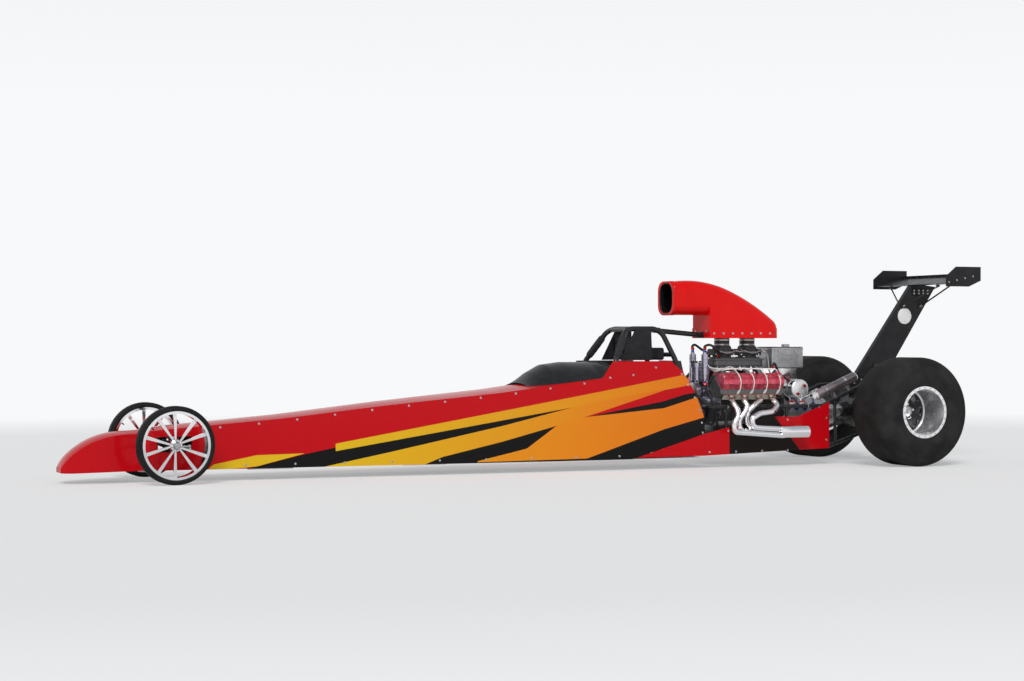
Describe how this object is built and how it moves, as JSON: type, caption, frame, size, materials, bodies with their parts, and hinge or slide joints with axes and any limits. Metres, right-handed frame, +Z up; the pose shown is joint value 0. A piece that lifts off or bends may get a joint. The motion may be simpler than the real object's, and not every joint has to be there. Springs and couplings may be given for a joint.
{
  "type": "drag racing car",
  "caption": "Long rear-engined drag racing car with slick rear tyres, open vee engine, forward air scoop, roll cage and rear wing; wheels turn and front wheels steer.",
  "frame": {"origin": "on the ground, under the middle of the car's overall length and width", "axes": "+X forward towards the nose, +Y to the car's left, +Z up"},
  "size_m": [7.535, 1.895, 1.625],
  "materials": {
    "red_paint": "gloss red body paint with orange, yellow and black stripes",
    "scoop_red": "gloss bright red",
    "black_panel": "satin black carbon panel",
    "black_tube": "gloss black powder coat",
    "black_wing": "satin black",
    "chrome": "bright chrome",
    "polished_rim": "polished spun rim",
    "cast_metal": "cast and machined",
    "machined": "machined plate",
    "engine_iron": "dark engine paint",
    "cover_red": "red anodised and polished",
    "purple_metal": "anodised",
    "steel": "machined steel",
    "slick_rubber": "matt rubber",
    "front_rubber": "matt rubber",
    "seat_cloth": "padded cloth",
    "pack_cloth": "nylon cloth"
  },
  "bodies": {
    "chassis": {"nose_cone": "red_paint", "hood_panel": "red_paint", "body_side_left": "red_paint", "body_side_right": "red_paint", "belly_pan": "machined", "rear_side_panels": "red_paint", "cockpit_cowl": "black_panel", "firewall": "machined", "roll_cage": "black_tube", "head_shroud": "black_panel", "seat": "seat_cloth", "steering_yoke": "black_tube", "frame_rails": "black_tube", "engine_block": "engine_iron", "oil_pan": "machined", "cylinder_heads": "cast_metal", "valve_covers": "cover_red", "intake_manifold": "cast_metal", "carburettors": "purple_metal", "air_scoop": "scoop_red", "headers_left": "chrome", "headers_right": "chrome", "motor_plates": "machined", "pulley_drive": "purple_metal", "bellhousing": "cast_metal", "gearbox": "cast_metal", "catch_tank": "polished_rim", "air_bottle": "polished_rim", "axle_housing": "black_tube", "brake_calipers": "machined", "wing_plane": "black_wing", "wing_end_plates": "black_wing", "wing_strut": "black_wing", "parachute_pack": "pack_cloth", "front_axle": "black_tube"},
    "knuckle_l": {"knuckle_left": "steel"},
    "knuckle_r": {"knuckle_right": "steel"},
    "track_rod": {"tie_rod": "steel"},
    "front_wheel_l": {"front_wheel_left": "chrome", "front_tyre_left": "front_rubber"},
    "front_wheel_r": {"front_wheel_right": "chrome", "front_tyre_right": "front_rubber"},
    "rear_wheel_set": {"rear_wheels": "polished_rim", "rear_tyres": "slick_rubber", "rear_axle": "steel"}
  },
  "joints": [
    {"name": "rear_wheels_turn", "type": "hinge", "parent": "chassis", "child": "rear_wheel_set", "pos_m": [-2.9175, 0, 0.438], "axis": [0, 1, 0], "continuous": true},
    {"name": "steer_left", "type": "hinge", "parent": "chassis", "child": "knuckle_l", "pos_m": [3.0425, 0.385, 0.277], "axis": [0, 0, 1], "range_deg": [-12, 12]},
    {"name": "steer_right", "type": "hinge", "parent": "chassis", "child": "knuckle_r", "pos_m": [3.0425, -0.385, 0.277], "axis": [0, 0, 1], "range_deg": [-12, 12]},
    {"name": "track_rod_pivot", "type": "hinge", "parent": "knuckle_l", "child": "track_rod", "pos_m": [2.9225, 0.385, 0.248], "axis": [0, 0, 1], "range_deg": [-12, 12]},
    {"name": "front_wheel_left_turn", "type": "hinge", "parent": "knuckle_l", "child": "front_wheel_l", "pos_m": [3.0425, 0.46, 0.277], "axis": [0, 1, 0], "continuous": true},
    {"name": "front_wheel_right_turn", "type": "hinge", "parent": "knuckle_r", "child": "front_wheel_r", "pos_m": [3.0425, -0.46, 0.277], "axis": [0, 1, 0], "continuous": true}
  ],
  "couplings": [
    {"joint": "steer_right", "follows": "steer_left", "ratio": 1},
    {"joint": "track_rod_pivot", "follows": "steer_left", "ratio": -1}
  ]
}
